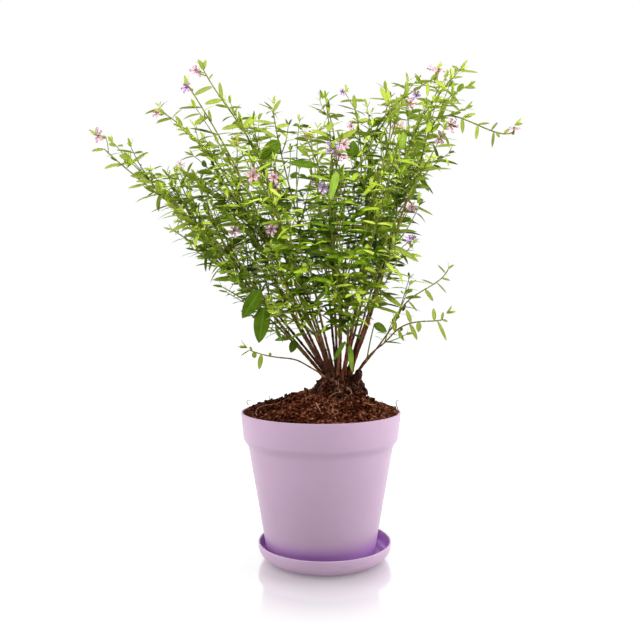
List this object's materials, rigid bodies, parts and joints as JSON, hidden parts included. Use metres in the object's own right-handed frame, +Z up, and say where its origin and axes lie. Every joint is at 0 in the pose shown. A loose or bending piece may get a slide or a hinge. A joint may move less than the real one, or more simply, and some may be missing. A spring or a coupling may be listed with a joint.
{
  "type": "potted false heather shrub",
  "caption": "Young flowering shrub with many thin stems, narrow leaves and small pink blossoms, planted in a lilac plastic pot on its saucer.",
  "frame": {"origin": "on the pot's axis, at the flat underside of the saucer, which is the level that the plant stands on", "axes": "+Z up along the pot's axis; -Y faces the viewer of the picture; +X to the viewer's right"},
  "size_m": [0.3759, 0.236, 0.4406],
  "materials": {
    "lilac_plastic": "satin moulded plastic",
    "soil": "damp crumbly potting soil",
    "bark": "fibrous bark",
    "foliage": "fresh green leaves"
  },
  "bodies": {
    "root": {"foliage_back_left": "foliage", "foliage_back_low_left": "foliage", "foliage_back_low_right": "foliage", "foliage_back_mid": "foliage", "foliage_back_right": "foliage", "foliage_far_left": "foliage", "foliage_far_right": "foliage", "foliage_front_left": "foliage", "foliage_front_low": "foliage", "foliage_front_low_left": "foliage", "foliage_front_mid": "foliage", "foliage_front_right": "foliage", "foliage_left_arch": "foliage", "foliage_left_flower": "foliage", "foliage_left_low": "foliage", "foliage_left_top": "foliage", "foliage_low_left": "foliage", "foliage_low_left_shoot": "foliage", "foliage_low_right": "foliage", "foliage_low_right_shoot": "foliage", "foliage_mid": "foliage", "foliage_mid_left": "foliage", "foliage_mid_right": "foliage", "foliage_right_flower": "foliage", "foliage_right_low": "foliage", "foliage_right_mid": "foliage", "foliage_right_side": "foliage", "foliage_right_top": "foliage", "pot": "lilac_plastic", "saucer": "lilac_plastic", "soil": "soil", "stem_back_left": "bark", "stem_back_low_left": "bark", "stem_back_low_right": "bark", "stem_back_mid": "bark", "stem_back_right": "bark", "stem_far_left": "bark", "stem_far_right": "bark", "stem_front_left": "bark", "stem_front_low": "bark", "stem_front_low_left": "bark", "stem_front_mid": "bark", "stem_front_right": "bark", "stem_left_arch": "bark", "stem_left_flower": "bark", "stem_left_low": "bark", "stem_left_top": "bark", "stem_low_left": "bark", "stem_low_left_shoot": "bark", "stem_low_right": "bark", "stem_low_right_shoot": "bark", "stem_mid": "bark", "stem_mid_left": "bark", "stem_mid_right": "bark", "stem_right_flower": "bark", "stem_right_low": "bark", "stem_right_mid": "bark", "stem_right_side": "bark", "stem_right_top": "bark", "stump": "bark"}
  },
  "joints": []
}
